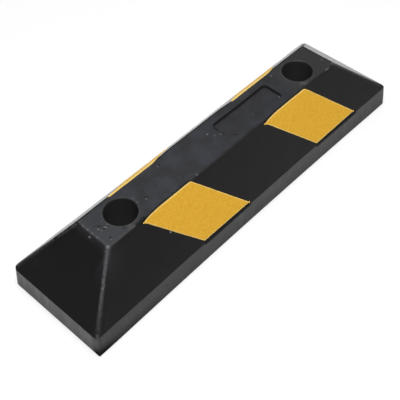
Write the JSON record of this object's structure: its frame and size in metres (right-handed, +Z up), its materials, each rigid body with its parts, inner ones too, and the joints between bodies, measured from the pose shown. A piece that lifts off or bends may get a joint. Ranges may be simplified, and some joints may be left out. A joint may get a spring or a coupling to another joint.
{
  "type": "wheel stop",
  "caption": "Low black rubber block with sloping faces, yellow reflective panels and deep counterbored fixing holes, bolted down to stop a wheel in a parking bay.",
  "frame": {"origin": "on the ground, under the middle of the block", "axes": "+X along the block toward the end with the shallow recess, -Y out of the front slope, +Z up"},
  "size_m": [0.55, 0.15, 0.0903],
  "materials": {
    "black_rubber": "matt moulded",
    "reflective_yellow": "fine glass beads"
  },
  "bodies": {
    "root": {"body": "black_rubber", "front_left_panel": "reflective_yellow", "front_right_panel": "reflective_yellow", "rear_left_panel": "reflective_yellow", "rear_right_panel": "reflective_yellow"}
  },
  "joints": []
}
